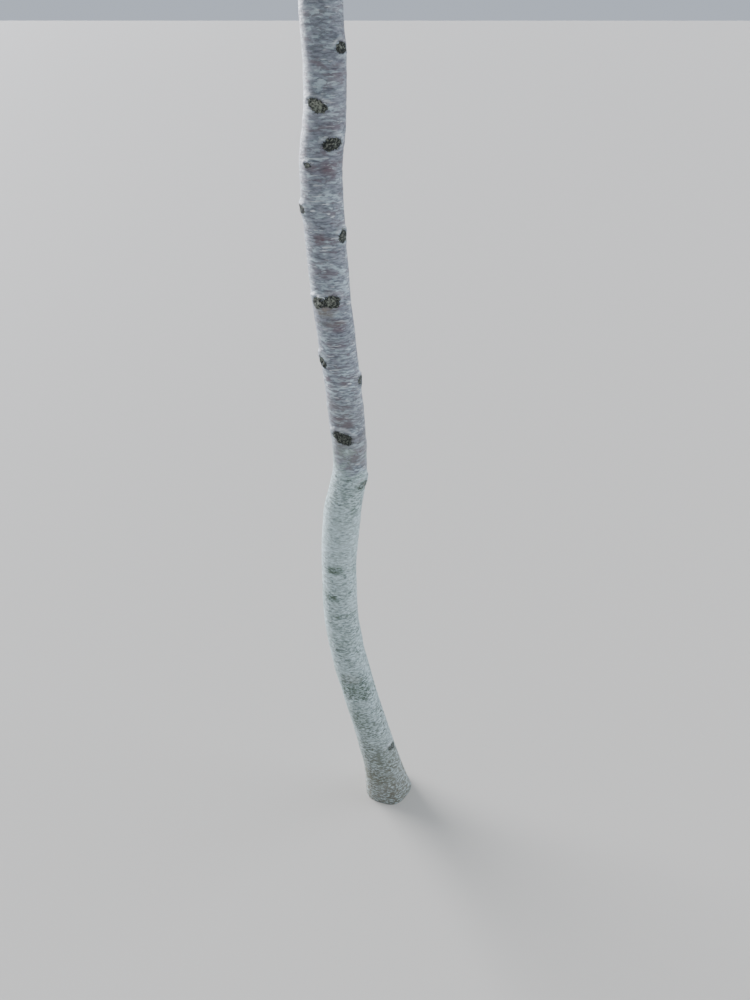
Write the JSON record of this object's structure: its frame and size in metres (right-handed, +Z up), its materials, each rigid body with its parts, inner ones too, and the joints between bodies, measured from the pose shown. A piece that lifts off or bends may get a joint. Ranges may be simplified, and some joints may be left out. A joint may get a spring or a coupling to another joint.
{
  "type": "sour cherry tree",
  "caption": "Young standard sour cherry tree with a slim bent trunk, pruning scars, two tiers of boughs and a rounded leafy crown.",
  "frame": {"origin": "middle of the flat cut under the trunk, at ground level", "axes": "+Z up; -Y towards the side of the trunk that is seen; +X to that viewer's right"},
  "size_m": [2.6429, 2.4499, 4.18],
  "materials": {
    "trunk_bark": "satin",
    "bough_bark": "satin",
    "foliage": "satin"
  },
  "bodies": {
    "root": {"trunk": "trunk_bark", "bough_low_1": "bough_bark", "bough_low_2": "bough_bark", "bough_low_3": "bough_bark", "bough_low_4": "bough_bark", "bough_low_5": "bough_bark", "bough_high_1": "bough_bark", "bough_high_2": "bough_bark", "bough_high_3": "bough_bark", "bough_high_4": "bough_bark", "bough_high_5": "bough_bark", "foliage_low_1": "foliage", "foliage_low_2": "foliage", "foliage_low_3": "foliage", "foliage_low_4": "foliage", "foliage_low_5": "foliage", "foliage_high_1": "foliage", "foliage_high_2": "foliage", "foliage_high_3": "foliage", "foliage_high_4": "foliage", "foliage_high_5": "foliage", "foliage_top": "foliage"}
  },
  "joints": []
}
